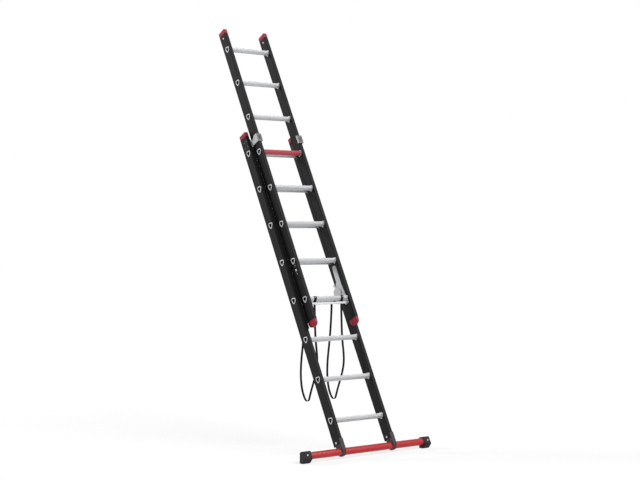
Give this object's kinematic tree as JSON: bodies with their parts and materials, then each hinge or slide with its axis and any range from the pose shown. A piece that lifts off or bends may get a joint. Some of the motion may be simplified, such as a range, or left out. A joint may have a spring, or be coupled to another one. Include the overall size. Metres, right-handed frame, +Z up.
{
  "type": "extension ladder",
  "caption": "Two-section leaning extension ladder with D rungs, sliding hooked fly, guide brackets, slack straps and a stabiliser bar on rubber feet.",
  "frame": {"origin": "on the floor, midway between the stabiliser bar's feet, under the bar's axis", "axes": "+Z up, +X to the climber's right along the rungs, +Y towards the wall that the ladder leans on"},
  "size_m": [1.03, 1.4948, 2.8596],
  "materials": {
    "stile_black": "satin black powder coat",
    "rung_aluminium": "brushed extruded aluminium",
    "rung_red": "satin red coat",
    "cap_red": "moulded red plastic",
    "plate_grey": "matt grey sheet",
    "pad_black": "black moulded plastic",
    "pad_grey": "grey moulded plastic",
    "clamp_black": "black coated",
    "foot_rubber": "black rubber",
    "bolt_steel": "zinc plated",
    "bar_red": "satin red coat",
    "strap_webbing": "woven black webbing"
  },
  "bodies": {
    "base": {"stabiliser_bar": "bar_red", "base_left_stile": "stile_black", "base_left_top_cap": "cap_red", "left_guide_bracket": "plate_grey", "left_guide_pad": "pad_grey", "left_glide_strip": "pad_black", "left_bar_clamp": "clamp_black", "left_clamp_bolt": "bolt_steel", "left_bar_foot": "foot_rubber", "left_strap_anchor": "strap_webbing", "left_strap": "strap_webbing", "base_right_stile": "stile_black", "base_right_top_cap": "cap_red", "right_guide_bracket": "plate_grey", "right_guide_pad": "pad_grey", "right_glide_strip": "pad_black", "right_bar_clamp": "clamp_black", "right_clamp_bolt": "bolt_steel", "right_bar_foot": "foot_rubber", "right_strap_anchor": "strap_webbing", "right_strap": "strap_webbing", "base_rung_1": "rung_aluminium", "base_rung_2": "rung_aluminium", "base_rung_3": "rung_aluminium", "base_rung_4": "rung_aluminium", "base_rung_5": "rung_aluminium", "base_rung_6": "rung_aluminium", "base_rung_7": "rung_aluminium", "base_rung_8": "rung_aluminium"},
    "fly": {"hook_crossbar": "plate_grey", "fly_left_stile": "stile_black", "fly_left_top_cap": "cap_red", "fly_left_bottom_cap": "cap_red", "left_hook_plate": "plate_grey", "left_catch_pin": "bolt_steel", "left_strap_loop": "strap_webbing", "fly_right_stile": "stile_black", "fly_right_top_cap": "cap_red", "fly_right_bottom_cap": "cap_red", "right_hook_plate": "plate_grey", "right_catch_pin": "bolt_steel", "right_strap_loop": "strap_webbing", "fly_rung_1": "rung_aluminium", "fly_rung_2": "rung_aluminium", "fly_rung_3": "rung_aluminium", "fly_rung_4": "rung_aluminium", "fly_rung_5": "rung_red", "fly_rung_6": "rung_aluminium", "fly_rung_7": "rung_aluminium", "fly_rung_8": "rung_aluminium"},
    "left_catch": {"left_safety_catch": "plate_grey"},
    "right_catch": {"right_safety_catch": "plate_grey"}
  },
  "joints": [
    {"name": "fly_slide", "type": "slide", "parent": "base", "child": "fly", "axis": [0, 0.4733, 0.8809], "range_m": [-0.84, 0.84], "deforming": ["left_strap", "right_strap"]},
    {"name": "left_catch_turn", "type": "hinge", "parent": "fly", "child": "left_catch", "pos_m": [-0.1501, 0.47419, 1.01531], "axis": [-1, 0, 0], "range_deg": [0, 20]},
    {"name": "right_catch_turn", "type": "hinge", "parent": "fly", "child": "right_catch", "pos_m": [0.1501, 0.47419, 1.01531], "axis": [-1, 0, 0], "range_deg": [0, 20]}
  ]
}
